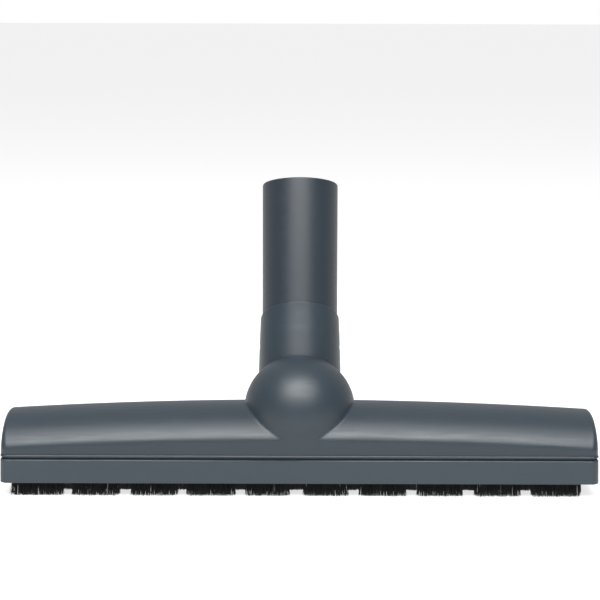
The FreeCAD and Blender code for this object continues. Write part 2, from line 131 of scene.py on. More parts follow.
# ---------------------------------------------------------------------------
# materials
# ---------------------------------------------------------------------------
def plastic(name, base, rough=0.4, grain=0.5, grain_size=0.00045, spread=0.06, spec=0.5, sheen_mark=0.05, coat=0.0):
    """Moulded plastic: fine spark-eroded grain, slow colour drift, faint rub marks."""
    m = bpy.data.materials.new(name)
    m.use_nodes = True
    nt = m.node_tree
    nt.nodes.clear()
    out = nt.nodes.new("ShaderNodeOutputMaterial")
    b = nt.nodes.new("ShaderNodeBsdfPrincipled")
    nt.links.new(b.outputs["BSDF"], out.inputs["Surface"])
    tc = nt.nodes.new("ShaderNodeTexCoord")
    # slow drift of shade, and finer mottling
    n1 = nt.nodes.new("ShaderNodeTexNoise")
    n1.inputs["Scale"].default_value = 28.0
    n1.inputs["Detail"].default_value = 4.0
    nt.links.new(tc.outputs["Object"], n1.inputs["Vector"])
    n2 = nt.nodes.new("ShaderNodeTexNoise")
    n2.inputs["Scale"].default_value = 1.0 / (grain_size * 2.4)
    n2.inputs["Detail"].default_value = 3.0
    n2.inputs["Roughness"].default_value = 0.6
    nt.links.new(tc.outputs["Object"], n2.inputs["Vector"])
    mixf = nt.nodes.new("ShaderNodeMix")
    mixf.data_type = "FLOAT"
    mixf.inputs["Factor"].default_value = 0.45
    nt.links.new(n1.outputs["Fac"], mixf.inputs[2])
    nt.links.new(n2.outputs["Fac"], mixf.inputs[3])
    ramp = nt.nodes.new("ShaderNodeValToRGB")
    ramp.color_ramp.elements[0].position = 0.25
    ramp.color_ramp.elements[1].position = 0.75
    lo = [max(0.0, c * (1 - spread)) for c in base]
    hi = [c * (1 + spread) for c in base]
    ramp.color_ramp.elements[0].color = (*lo, 1)
    ramp.color_ramp.elements[1].color = (*hi, 1)
    nt.links.new(mixf.outputs[0], ramp.inputs["Fac"])
    nt.links.new(ramp.outputs["Color"], b.inputs["Base Color"])
    # roughness: base with rub marks stretched along X
    mp = nt.nodes.new("ShaderNodeMapping")
    mp.inputs["Scale"].default_value = (60.0, 700.0, 700.0)
    nt.links.new(tc.outputs["Object"], mp.inputs["Vector"])
    n3 = nt.nodes.new("ShaderNodeTexNoise")
    n3.inputs["Scale"].default_value = 1.0
    n3.inputs["Detail"].default_value = 5.0
    nt.links.new(mp.outputs["Vector"], n3.inputs["Vector"])
    rr = nt.nodes.new("ShaderNodeMapRange")
    rr.inputs["From Min"].default_value = 0.3
    rr.inputs["From Max"].default_value = 0.7
    rr.inputs["To Min"].default_value = rough - sheen_mark
    rr.inputs["To Max"].default_value = rough + sheen_mark
    nt.links.new(n3.outputs["Fac"], rr.inputs["Value"])
    nt.links.new(rr.outputs["Result"], b.inputs["Roughness"])
    # grain
    n4 = nt.nodes.new("ShaderNodeTexVoronoi")
    n4.feature = "SMOOTH_F1"
    n4.inputs["Scale"].default_value = 1.0 / (grain_size * 1.5)
    nt.links.new(tc.outputs["Object"], n4.inputs["Vector"])
    n5 = nt.nodes.new("ShaderNodeTexNoise")
    n5.inputs["Scale"].default_value = 1.0 / grain_size
    n5.inputs["Detail"].default_value = 2.0
    nt.links.new(tc.outputs["Object"], n5.inputs["Vector"])
    add = nt.nodes.new("ShaderNodeMath")
    add.operation = "ADD"
    nt.links.new(n4.outputs["Distance"], add.inputs[0])
    nt.links.new(n5.outputs["Fac"], add.inputs[1])
    bump = nt.nodes.new("ShaderNodeBump")
    bump.inputs["Strength"].default_value = grain
    bump.inputs["Distance"].default_value = 0.00002
    nt.links.new(add.outputs[0], bump.inputs["Height"])
    nt.links.new(bump.outputs["Normal"], b.inputs["Normal"])
    b.inputs["Specular IOR Level"].default_value = spec
    if coat:
        b.inputs["Coat Weight"].default_value = coat
        b.inputs["Coat Roughness"].default_value = 0.3
    return m


def fibre(name, base):
    """Brush filaments: near black, a streak of shade along each and a dull sheen."""
    m = bpy.data.materials.new(name)
    m.use_nodes = True
    nt = m.node_tree
    b = nt.nodes["Principled BSDF"]
    tc = nt.nodes.new("ShaderNodeTexCoord")
    mp = nt.nodes.new("ShaderNodeMapping")
    mp.inputs["Scale"].default_value = (2600.0, 2600.0, 120.0)
    nt.links.new(tc.outputs["Object"], mp.inputs["Vector"])
    n = nt.nodes.new("ShaderNodeTexNoise")
    n.inputs["Scale"].default_value = 1.0
    n.inputs["Detail"].default_value = 2.0
    nt.links.new(mp.outputs["Vector"], n.inputs["Vector"])
    r = nt.nodes.new("ShaderNodeValToRGB")
    r.color_ramp.elements[0].position = 0.3
    r.color_ramp.elements[1].position = 0.72
    r.color_ramp.elements[0].color = (base[0] * 0.5, base[1] * 0.5, base[2] * 0.5, 1)
    r.color_ramp.elements[1].color = (base[0] * 1.9, base[1] * 1.9, base[2] * 1.9, 1)
    nt.links.new(n.outputs["Fac"], r.inputs["Fac"])
    nt.links.new(r.outputs["Color"], b.inputs["Base Color"])
    rr = nt.nodes.new("ShaderNodeMapRange")
    rr.inputs["To Min"].default_value = 0.42
    rr.inputs["To Max"].default_value = 0.62
    nt.links.new(n.outputs["Fac"], rr.inputs["Value"])
    nt.links.new(rr.outputs["Result"], b.inputs["Roughness"])
    b.inputs["Specular IOR Level"].default_value = 0.25
    bump = nt.nodes.new("ShaderNodeBump")
    bump.inputs["Strength"].default_value = 0.3
    bump.inputs["Distance"].default_value = 0.00003
    nt.links.new(n.outputs["Fac"], bump.inputs["Height"])
    nt.links.new(bump.outputs["Normal"], b.inputs["Normal"])
    return m


def metal(name, base, rough, along=(40.0, 900.0, 900.0)):
    """Drawn or plated steel: fine lines along the work, cloudy dulling."""
    m = bpy.data.materials.new(name)
    m.use_nodes = True
    nt = m.node_tree
    b = nt.nodes["Principled BSDF"]
    b.inputs["Metallic"].default_value = 1.0
    tc = nt.nodes.new("ShaderNodeTexCoord")
    mp = nt.nodes.new("ShaderNodeMapping")
    mp.inputs["Scale"].default_value = along
    nt.links.new(tc.outputs["Object"], mp.inputs["Vector"])
    n = nt.nodes.new("ShaderNodeTexNoise")
    n.inputs["Scale"].default_value = 2.0
    n.inputs["Detail"].default_value = 5.0
    nt.links.new(mp.outputs["Vector"], n.inputs["Vector"])
    n2 = nt.nodes.new("ShaderNodeTexNoise")
    n2.inputs["Scale"].default_value = 700.0
    n2.inputs["Detail"].default_value = 3.0
    nt.links.new(tc.outputs["Object"], n2.inputs["Vector"])
    r = nt.nodes.new("ShaderNodeValToRGB")
    r.color_ramp.elements[0].position = 0.3
    r.color_ramp.elements[1].position = 0.7
    r.color_ramp.elements[0].color = (base[0] * 0.72, base[1] * 0.72, base[2] * 0.72, 1)
    r.color_ramp.elements[1].color = (*base, 1)
    nt.links.new(n2.outputs["Fac"], r.inputs["Fac"])
    nt.links.new(r.outputs["Color"], b.inputs["Base Color"])
    rr = nt.nodes.new("ShaderNodeMapRange")
    rr.inputs["To Min"].default_value = rough - 0.08
    rr.inputs["To Max"].default_value = rough + 0.12
    nt.links.new(n.outputs["Fac"], rr.inputs["Value"])
    nt.links.new(rr.outputs["Result"], b.inputs["Roughness"])
    bump = nt.nodes.new("ShaderNodeBump")
    bump.inputs["Strength"].default_value = 0.25
    bump.inputs["Distance"].default_value = 0.00002
    nt.links.new(n.outputs["Fac"], bump.inputs["Height"])
    nt.links.new(bump.outputs["Normal"], b.inputs["Normal"])
    return m


def felt(name, base):
    """Pressed wool felt: matted fibres, soft sheen."""
    m = plastic(name, base, rough=0.93, grain=1.0, grain_size=0.00035, spread=0.22, spec=0.1, sheen_mark=0.04)
    b = [n for n in m.node_tree.nodes if n.type == "BSDF_PRINCIPLED"][0]
    b.inputs["Sheen Weight"].default_value = 0.35
    b.inputs["Sheen Roughness"].default_value = 0.5
    return m


M_SHELL = plastic("mat_housing_plastic", (0.018, 0.028, 0.037), rough=0.43, grain=0.30)
M_FRAME = plastic("mat_frame_plastic", (0.022, 0.034, 0.043), rough=0.45, grain=0.30)
M_ELBOW = plastic("mat_elbow_plastic", (0.018, 0.028, 0.037), rough=0.42, grain=0.30)
M_TUBE = plastic("mat_tube_plastic", (0.015, 0.022, 0.030), rough=0.42, grain=0.30)
M_SOLE = plastic("mat_sole_plastic", (0.030, 0.034, 0.038), rough=0.58, grain=0.6, grain_size=0.0006)
M_CARRIER = plastic("mat_carrier_plastic", (0.014, 0.015, 0.016), rough=0.5, grain=0.5)
M_CLIP = plastic("mat_clip_plastic", (0.020, 0.022, 0.024), rough=0.28, grain=0.15)
M_BUSH = plastic("mat_bush_acetal", (0.62, 0.61, 0.55), rough=0.36, grain=0.15, spread=0.04)
# Near-black rubber for the ball seal: partly the seal's own colour, partly painted shade, as its dark lip stands in
# for the shadow in the gap between the hood's edge and the neck.
M_RUBBER_AND_PAINTED_GAP_SHADE = plastic("mat_seal_rubber_and_painted_gap_shade", (0.018, 0.018, 0.018), rough=0.72, grain=0.6, spec=0.3)
M_FELT = felt("mat_seal_felt", (0.22, 0.22, 0.21))
M_PIN = metal("mat_pin_steel", (0.62, 0.62, 0.63), 0.26)
M_SCREW = metal("mat_zinc_screw", (0.66, 0.67, 0.68), 0.34, along=(500.0, 500.0, 60.0))
M_FIBRE = fibre("mat_bristle_fibre", (0.010, 0.0115, 0.012))

for node, mat in {
    "upper_shell": M_SHELL, "base_frame": M_FRAME, "sole_plate": M_SOLE, "duct_cradle": M_SOLE,
    "front_brush_carrier": M_CARRIER, "rear_brush_carrier": M_CARRIER, "brush_end_stops": M_CARRIER,
    # ball_seal gets the near-black rubber whose lip is painted shade for the gap at the hood's edge.
    "front_bristles": M_FIBRE, "rear_bristles": M_FIBRE, "ball_seal": M_RUBBER_AND_PAINTED_GAP_SHADE,
    "pivot_bush_left": M_BUSH, "pivot_bush_right": M_BUSH, "pivot_pin_left": M_PIN, "pivot_pin_right": M_PIN,
    "pin_clip_left": M_PIN, "pin_clip_right": M_PIN, "housing_screws": M_SCREW, "ball_elbow": M_ELBOW,
    "swivel_seal": M_FELT, "retaining_ring": M_CLIP, "connecting_tube": M_TUBE,
}.items():
    o = N[node]
    if not o.material_slots:
        o.data.materials.append(mat)
    for s in o.material_slots:
        s.material = mat

# ---------------------------------------------------------------------------
# upper shell
# ---------------------------------------------------------------------------
ZB = 20.3                       # underside of the rim
CROWN = 43.6
ZC = CROWN - 2430.0             # the bow's centre of curvature
XE = 149.6
WALL = 26.2
T = 2.2

_pts = np.array([(-26.2, 28.4), (-25.4, 31.0), (-22.6, 34.6), (-17.8, 38.7), (-9.8, 42.35), (0, 43.6),
                 (9.8, 42.35), (17.8, 38.7), (22.6, 34.6), (25.4, 31.0), (26.2, 28.4)], float)


def clamped_spline(p, d0, d1):
    h = np.linalg.norm(np.diff(p, axis=0), axis=1)
    n = len(p)
    A = np.zeros((n, n))
    B = np.zeros((n, 2))
    A[0, 0] = A[-1, -1] = 1
    B[0], B[-1] = d0, d1
    for i in range(1, n - 1):
        A[i, i - 1], A[i, i], A[i, i + 1] = h[i], 2 * (h[i - 1] + h[i]), h[i - 1]
        B[i] = 3 * (h[i] * (p[i] - p[i - 1]) / h[i - 1] + h[i - 1] * (p[i + 1] - p[i]) / h[i])
    d = np.linalg.solve(A, B)
    out = []
    for i in range(n - 1):
        t = np.linspace(0, 1, 60, endpoint=False)[:, None]
        hh = h[i]
        out.append((2 * t**3 - 3 * t**2 + 1) * p[i] + (t**3 - 2 * t**2 + t) * hh * d[i]
                   + (-2 * t**3 + 3 * t**2) * p[i + 1] + (t**3 - t**2) * hh * d[i + 1])
    out.append(p[-1:])
    return np.concatenate(out)


_curve = clamped_spline(_pts, (0, 1), (0, -1))


def column(x):
    """The shell's section at x: points (y, z), section normals and arc length, front foot to rear foot."""
    y, z = _curve[:, 0], _curve[:, 1]
    rho = z - ZC
    zz = ZC + np.sqrt(rho**2 - x * x)
    c = np.stack([y, zz], 1)
    foot = max(2, int((zz[0] - ZB) / 0.5))
    w0 = np.stack([np.full(foot, -WALL), np.linspace(ZB, zz[0], foot, endpoint=False)], 1)
    w1 = np.stack([np.full(foot, WALL), np.linspace(ZB, zz[-1], foot, endpoint=False)], 1)[::-1]
    c = np.concatenate([w0, c, w1])
    d = np.gradient(c, axis=0)
    nn = unit(np.stack([-d[:, 1], d[:, 0]], 1))
    s = np.concatenate([[0], np.cumsum(np.linalg.norm(np.diff(c, axis=0), axis=1))])
    return c, nn, s


def at(col, s):
    c, nn, ss = col
    q = np.stack([np.interp(s, ss, c[:, k]) for k in (0, 1)], 1)
    m = unit(np.stack([np.interp(s, ss, nn[:, k]) for k in (0, 1)], 1))
    return q, m


# where the hood meets the crown line
lo_, hi_ = 20.0, 28.29
for _ in range(60):
    xm = (lo_ + hi_) / 2
    r = math.sqrt(HOOD_R**2 - xm * xm)
    if HC[2] + r > ZC + math.sqrt((CROWN - ZC) ** 2 - xm * xm):
        lo_ = xm
    else:
        hi_ = xm
XM = xm
FIL = 1.3                        # reach of the soft fillet round the hood
RIM = 0.3                        # rounding on cut edges
EDGE_Y = 1.2
SLOT = 22.3
CYL = 21.95

near = np.array([0.0, 0.08, 0.17, 0.28, 0.42, 0.6, 0.82, 1.08, 1.4])
inner_cols = np.sin(np.linspace(0, math.pi / 2, 92)) * XM
extra = np.array([SLOT + RIM])
pos = np.unique(np.concatenate([inner_cols, extra, XM + np.array([0.05, 0.12, 0.2, 0.3, 0.42, 0.56, 0.72, 0.92, 1.2, 1.6, 2.2]),
                                np.linspace(XM + 3.2, 143.5, 60)]))
cols_x = np.concatenate([-pos[::-1], pos[1:]])
NA, NB, NC = 30, 46, 60
k_slot = int(np.argmin(np.abs(pos - (SLOT + RIM))))


def spaced(L, n, cluster_at_end):
    """n distances over a length, close together near one end."""
    k = near * min(1.0, L / 3.2)
    rest = np.linspace(k[-1], L, n - len(k) + 1)[1:]
    d = np.concatenate([k, rest])
    return (L - d)[::-1] if cluster_at_end else d


def hood_end(x, r, scale=1.0):
    """Angle at which the hood stops on this column: the back plane or the passage for the neck."""
    xi = x * scale
    b_end = math.acos(max(-1.0, -EDGE_Y / r))
    lim = math.sqrt(max(0.0, CYL**2 - xi * xi))

    def f(b):
        y, z = -r * math.cos(b), HC[2] + r * math.sin(b)
        return -(y - P[1]) * math.cos(LEAN) + (z - P[2]) * math.sin(LEAN)

    cut = False
    if f(b_end) < lim:
        a0, a1 = 0.3, b_end
        for _ in range(50):
            mid = (a0 + a1) / 2
            if f(mid) > lim:
                a0 = mid
            else:
                a1 = mid
        b_end, cut = (a0 + a1) / 2, True
    return b_end, cut


outA, nrmA, inA, outC, nrmC, cutflag = [], [], [], [], [], []
for x in cols_x:
    col = column(x)
    c, nn, ss = col
    ax_ = abs(x)
    drop_n = x / 2430.0
    # A: foot to crease
    mid = np.searchsorted(c[:, 0], 0.0)
    if ax_ < XM:
        rr = HOOD_R**2 - x * x
        f = c[:, 0] ** 2 + (c[:, 1] - HC[2]) ** 2 - rr
        k = int(np.argmax(f[: mid + 2] < 0)) if (f[: mid + 2] < 0).any() else mid
        t = f[k - 1] / (f[k - 1] - f[k]) if f[k] < 0 else 1.0
        s_c = ss[k - 1] + t * (ss[k] - ss[k - 1])
    else:
        j0 = int(np.argmax(c[:, 0] >= 0.0))
        t = (0.0 - c[j0 - 1, 0]) / (c[j0, 0] - c[j0 - 1, 0])
        s_c = ss[j0 - 1] + t * (ss[j0] - ss[j0 - 1])
    sA = spaced(s_c, NA, True)
    qA, mA = at(col, sA)
    pA = np.stack([np.full(NA, x), qA[:, 0], qA[:, 1]], 1)
    nA = unit(np.stack([mA[:, 1] * drop_n, mA[:, 0], mA[:, 1]], 1))
    j1 = int(np.argmax(c[:, 0] >= EDGE_Y))
    t = (EDGE_Y - c[j1 - 1, 0]) / (c[j1, 0] - c[j1 - 1, 0])
    s_e = ss[j1 - 1] + t * (ss[j1] - ss[j1 - 1])
    cut = False
    if ax_ < XM:
        r = math.sqrt(HOOD_R**2 - x * x)
        qc = at(col, np.array([s_c]))[0][0]
        b0 = math.atan2(qc[1] - HC[2], -qc[0])
        b1, cut = hood_end(x, r)
        b1t = b1 - RIM / r * smooth((XM - ax_) / 0.6)
        dB = spaced((b1t - b0) * r, NB + 1, False)[1:] / r + b0
        pB = np.stack([np.full(NB, x), -r * np.cos(dB), HC[2] + r * np.sin(dB)], 1)
        nB = unit(pB - HC)
        # inner face of the hood follows the passage too
        if cut:
            b1i, _c = hood_end(x, r * (HOOD_R - HOOD_T) / HOOD_R, (HOOD_R - HOOD_T) / HOOD_R)
        else:
            b1i = b1
        u = smooth((dB - b0) / max(1e-9, b1t - b0))
        dI = dB + (b1i - b1t) * u
        ri = r * (HOOD_R - HOOD_T) / HOOD_R
        iB = np.stack([np.full(NB, x * (HOOD_R - HOOD_T) / HOOD_R), -ri * np.cos(dI), HC[2] + ri * np.sin(dI)], 1)
        # fillet: body side
        dist = np.linalg.norm(pA - HC, axis=1) - HOOD_R
        h = np.clip((FIL - dist) / FIL, 0, 1)
        other = unit(pA - HC)
        nA2 = unit(nA * (1 - h / 2)[:, None] + other * (h / 2)[:, None])
        pA = pA + nA2 * (h**2 * FIL / 4)[:, None]
        # fillet: hood side
        sel = np.linspace(0, len(c) - 1, 260).astype(int)
        D = pB[:, None, 1:] - c[None, :, :]
        dd = np.linalg.norm(D, axis=2)
        kk = np.argmin(dd, axis=1)
        dist = dd[np.arange(NB), kk]
        fade = 1 - smooth((pB[:, 1] + 1.6) / 2.4)
        h = np.clip((FIL - dist) / FIL, 0, 1) * fade
        mo = nn[kk]
        other = unit(np.stack([mo[:, 1] * drop_n, mo[:, 0], mo[:, 1]], 1))
        nB2 = unit(nB * (1 - h / 2)[:, None] + other * (h / 2)[:, None])
        pB = pB + nB2 * (h**2 * FIL / 4)[:, None]
        iA = pA - nA * T
        nA, nB = nA2, nB2
    else:
        sB = spaced(s_e - s_c, NB + 1, False)[1:] + s_c
        qB, mB = at(col, sB)
        pB = np.stack([np.full(NB, x), qB[:, 0], qB[:, 1]], 1)
        nB = unit(np.stack([mB[:, 1] * drop_n, mB[:, 0], mB[:, 1]], 1))
        iA = pA - nA * T
        iB = pB - nB * T
        for (pp, nq) in ((pA, nA), (pB, nB)):
            dist = np.linalg.norm(pp - HC, axis=1) - HOOD_R
            fade = 1 - smooth((pp[:, 1] + 1.6) / 2.4)
            h = np.clip((FIL - dist) / FIL, 0, 1) * fade
            other = unit(pp - HC)
            n2 = unit(nq * (1 - h / 2)[:, None] + other * (h / 2)[:, None])
            pp += n2 * (h**2 * FIL / 4)[:, None]
            nq[:] = n2
    outA.append(np.concatenate([pA, pB]))
    nrmA.append(np.concatenate([nA, nB]))
    inA.append(np.concatenate([iA, iB]))
    cutflag.append(cut)
    # C: crown behind the hood line, down to the rear foot
    start = s_e + (RIM if ax_ < XM else 0.0)
    sC = np.concatenate([np.linspace(start, ss[-1], NC)])
    qC, mC = at(col, sC)
    outC.append(np.stack([np.full(NC, x), qC[:, 0], qC[:, 1]], 1))
    nrmC.append(unit(np.stack([mC[:, 1] * drop_n, mC[:, 0], mC[:, 1]], 1)))
outA, nrmA, inA = np.array(outA), np.array(nrmA), np.array(inA)   # (columns, rows, 3)
outC, nrmC = np.array(outC), np.array(nrmC)
inC = outC - nrmC * T

# rounded ends: the section shrinks round the corner
steps = np.radians(np.linspace(0, 90, 11))


def end_rings(side):
    rings, norms = [], []
    x0 = cols_x[0] if side < 0 else cols_x[-1]
    base = np.concatenate([outA[0 if side < 0 else -1], outC[0 if side < 0 else -1][1:]])
    k = smooth((base[:, 2] - 24.0) / 8.0)
    rad = 4.0 * (1 - k) + 2.6 * k
    # arc length along the end section gives the same row on every ring
    colx = column(x0)
    ylist = base[:, 1:]
    dd = np.linalg.norm(ylist[:, None] - colx[0][None], axis=2)
    s_here = colx[2][np.argmin(dd, axis=1)]
    s_here = s_here / colx[2][-1]
    for th in steps:
        xe = XE - 0.75 * (base[:, 2] - ZB) / 39.7
        xr = xe - rad + rad * math.sin(th)
        pts, nr = [], []
        for j in range(len(base)):
            rho = None
            # same section point, carried along the bow from the last column
            zc_ = ZC + math.sqrt(max(0.0, (base[j, 2] - ZC) ** 2 + x0 * x0 - xr[j] ** 2))
            z = zc_ if base[j, 2] > ZB + 0.01 else ZB
            pts.append((side * xr[j], base[j, 1], max(ZB, z)))
        pts = np.array(pts)
        nb = np.concatenate([nrmA[0 if side < 0 else -1], nrmC[0 if side < 0 else -1][1:]])
        inset = rad * (1 - math.cos(th))
        sec = nb.copy()
        sec[:, 0] = 0
        sec = unit(sec)
        pts = pts - sec * inset[:, None]
        nn_ = unit(sec * math.cos(th) + np.array([side * 1.0, 0, 0.019]) * math.sin(th))
        rings.append(pts)
        norms.append(nn_)
    return np.array(rings), np.array(norms)


S = Build()
NR = NA + NB
ncol = len(cols_x)
iO = S.verts(outA.reshape(-1, 3)).reshape(ncol, NR)
iI = S.verts(inA.reshape(-1, 3)).reshape(ncol, NR)
S.grid(iO, nrmA)
S.grid(iI, -nrmA, flip=True)
absx = np.abs(cols_x)
for side in (-1, 1):
    sel = [i for i in range(ncol) if cols_x[i] * side >= SLOT + RIM - 1e-6]
    if side < 0:
        sel = sel            # ascending x, from the end to the slot
    oC = S.verts(outC[sel].reshape(-1, 3)).reshape(len(sel), NC)
    jC = S.verts(inC[sel].reshape(-1, 3)).reshape(len(sel), NC)
    # beyond the hood the two sheets share their row
    for a, i in enumerate(sel):
        if absx[i] >= XM - 1e-9:
            oC[a, 0] = iO[i, -1]
            jC[a, 0] = iI[i, -1]
    S.grid(oC, nrmC[sel])
    S.grid(jC, -nrmC[sel], flip=True)
    # front lip of this sheet, inside the hood
    k = [a for a, i in enumerate(sel) if absx[i] < XM + 0.06]
    a_ = np.array([oC[q, 0] for q in k])
    b_ = np.array([jC[q, 0] for q in k])
    nf = np.tile(np.array([0, -1.0, 0]), (2, len(k), 1))
    S.grid(np.stack([a_, b_]), nf)
    # slot side: rounded edge then the cut face
    e = 0 if side > 0 else len(sel) - 1
    m = np.array([-side * 1.0, 0, 0])
    op, on = outC[sel][e], nrmC[sel][e]
    rows, rn = [oC[e]], [on]
    for th in np.radians([22.5, 45, 67.5, 90]):
        rows.append(S.verts(op - on * RIM + (on * math.cos(th) + m * math.sin(th)) * RIM))
        rn.append(unit(on * math.cos(th) + m * math.sin(th)))
    low = S.verts(inC[sel][e] + m * RIM)
    rows2 = [rows[-1], low]
    rn2 = [np.tile(m, (NC, 1)), np.tile(m, (NC, 1))]
    S.grid(np.array(rows), np.array(rn), flip=(side < 0))
    S.grid(np.array(rows2), np.array(rn2), flip=(side < 0))
    S.grid(np.array([low, jC[e]]), -np.array([on, on]), flip=(side < 0))
    # feet
    dn = np.array([0, 0, -1.0])
    S.grid(np.stack([oC[:, -1], jC[:, -1]]), np.tile(dn, (2, len(sel), 1)))
    # rounded end
    rings, norms = end_rings(side)
    iend = 0 if side < 0 else ncol - 1
    aend = 0 if side < 0 else len(sel) - 1
    first = np.concatenate([iO[iend], oC[aend][1:]])
    firstn = np.concatenate([nrmA[iend], nrmC[iend][1:]])
    firsti = np.concatenate([iI[iend], jC[aend][1:]])
    ids = [first] + [S.verts(r) for r in rings]
    nns = [firstn] + [q for q in norms]
    S.grid(np.array(ids), np.array(nns), flip=(side < 0))
    cap = ids[-1]
    nf = np.tile(nns[-1][0], (len(cap), 1))
    nf = np.tile(unit(np.array([side * 1.0, 0, 0.019])), (len(cap), 1))
    order = cap if side < 0 else cap[::-1]
    S.face(list(order[::-1]), nf)
    # inner end, plain
    innerring = rings[-1] - np.array([side * T, 0, 0])
    secn = firstn.copy(); secn[:, 0] = 0
    innerring = innerring + unit(secn) * 0.4
    innerring[:, 2] = np.maximum(innerring[:, 2], ZB)
    ii = S.verts(innerring)
    S.grid(np.array([firsti, ii]), -np.array([firstn, firstn]), flip=(side > 0))
    S.face(list(ii if side > 0 else ii[::-1])[::-1], np.tile(np.array([-side * 1.0, 0, 0]), (len(ii), 1)))
    # underside of the end wall: not built, the loop below does nothing
    for jrow in (0, -1):
        pass
# front foot
S.grid(np.stack([iO[:, 0], iI[:, 0]]), np.tile(np.array([0, 0, -1.0]), (2, ncol, 1)), flip=True)
# hood edge: rounded outside, then the cut face down to the inner skin
hs = [i for i in range(ncol) if absx[i] < XM - 1e-9]
op, on = outA[hs, -1], nrmA[hs, -1]
mm = []
for i, p_ in zip(hs, op):
    if cutflag[i]:
        fcoord = (p_ - P) @ FR
        mm.append(unit(-(np.array([p_[0], 0, 0]) + FR * fcoord)))
    else:
        mm.append(np.array([0, 1.0, 0]))
mm = np.array(mm)
w = np.array([smooth((XM - absx[i]) / 0.6) for i in hs])[:, None]
tang = unit(np.stack([np.zeros(len(hs)), on[:, 2], -on[:, 1]], 1))
rows, rn = [iO[hs, -1]], [on]
for th in np.radians([22.5, 45, 67.5, 90]):
    pt = op - on * RIM * w + (on * math.cos(th) + tang * math.sin(th)) * RIM * w
    rows.append(S.verts(pt))
    rn.append(unit(on * math.cos(th) + mm * math.sin(th)))
S.grid(np.array(rows).T[:, ::1].T, np.array(rn), flip=True)
S.grid(np.array([rows[-1], iI[hs, -1]]), np.array([mm, mm]), flip=True)

# rim bead: a rounded rib swept round the foot of the shell, open at the rear slot
def sweep_ring(B, prof, hx, hy, r, gap=None, closed_profile=True):
    """prof: (inset, z, normal_out, normal_z). Path: rounded rectangle, from one side of the rear gap to the other."""
    path = []
    seg = 10
    corners = [(hx - r, hy - r, 90, 0), (hx - r, -hy + r, 0, -90), (-hx + r, -hy + r, -90, -180), (-hx + r, hy - r, 180, 90)]
    g = gap if gap else 0.0
    path.append((g, hy, 0.0, 1.0))
    for (cx, cy, a0, a1) in corners:
        if cx > 0 and cy > 0:
            a = np.linspace(90, 0, seg)
        elif cx > 0:
            a = np.linspace(0, -90, seg)
        elif cy < 0:
            a = np.linspace(-90, -180, seg)
        else:
            a = np.linspace(180, 90, seg)
        for t in a:
            c_, s_ = math.cos(math.radians(t)), math.sin(math.radians(t))
            path.append((cx + r * c_, cy + r * s_, c_, s_))
    path.append((-g, hy, 0.0, 1.0))
    path = np.array(path)
    prof = np.array(prof, float)
    V_ = path[:, None, :2] - path[:, None, 2:] * prof[None, :, 0:1]
    V3 = np.concatenate([V_, np.broadcast_to(prof[None, :, 1:2], V_.shape[:2] + (1,))], 2)
    Nn = path[:, None, 2:] * prof[None, :, 2:3]
    N3 = unit(np.concatenate([Nn, np.broadcast_to(prof[None, :, 3:4], Nn.shape[:2] + (1,))], 2))
    ids = B.verts(V3.reshape(-1, 3)).reshape(len(path), len(prof))
    B.grid(ids, N3, flip=False)
    B.grid(np.stack([ids[:, -1], ids[:, 0]], 1), np.stack([N3[:, -1], N3[:, 0]], 1))
    B.face(list(ids[0]), np.tile([-1.0, 0, 0], (len(prof), 1)))
    B.face(list(ids[-1][::-1]), np.tile([1.0, 0, 0], (len(prof), 1)))


prof = [(2.6, ZB + 0.02, 0, -1), (0.14, ZB + 0.02, 0, -1)]
for th in (30, 60, 90):
    t = math.radians(th)
    prof.append((0.14 - 0.14 * math.sin(t), ZB + 0.02 + 0.14 - 0.14 * math.cos(t), math.sin(t), -math.cos(t)))
for th in (0, 15, 30, 45, 60, 75, 90):
    t = math.radians(th)
    prof.append((0.65 - 0.65 * math.cos(t), 20.85 + 0.65 * math.sin(t), math.cos(t), math.sin(t)))
prof.append((2.6, 21.5, 0, 1))
sweep_ring(S, prof, 149.75, 27.0, 4.0, gap=SLOT + 0.05)
shell = S.make("shell_skin", M_SHELL, "housing", ["upper_shell"])

# ---------------------------------------------------------------------------
# connecting tube
# ---------------------------------------------------------------------------
def revolve(B, prof, seg=160, start=P):
    """prof: list of segments; each is a list of (r, L, nr, nL). Neighbouring segments share their end vertices."""
    th = np.linspace(0, 2 * math.pi, seg, endpoint=False)
    rad = np.cos(th)[:, None] * FR + np.sin(th)[:, None] * EX
    prev = None
    first = None
    for si, sg in enumerate(prof):
        ids, nr = [], []
        for j, (r_, L_, a_, b_) in enumerate(sg):
            if j == 0 and prev is not None:
                ids.append(prev)
            elif si == len(prof) - 1 and j == len(sg) - 1:
                ids.append(first)
            else:
                ids.append(B.verts(start + rad * r_ + AX * L_))
            nr.append(unit(rad * a_ + AX * b_))
            if first is None:
                first = ids[0]
        B.grid(np.array(ids), np.array(nr), close=True, flip=True)
        prev = ids[-1]


def line(p0, p1, n=2):
    """Straight profile run with its outward normal on the left of travel."""
    d = np.array([p1[0] - p0[0], p1[1] - p0[1]], float)
    m = np.array([d[1], -d[0]])
    m /= max(1e-9, np.linalg.norm(m))
    return [(p0[0] + d[0] * t, p0[1] + d[1] * t, m[0], m[1]) for t in np.linspace(0, 1, n)]


def arc(c, r, a0, a1, n=7):
    """Profile arc about c from angle a0 to a1 (degrees from the radial direction)."""
    out = []
    for t in np.radians(np.linspace(a0, a1, n)):
        out.append((c[0] + r * math.cos(t), c[1] + r * math.sin(t), math.cos(t), math.sin(t)))
    return out


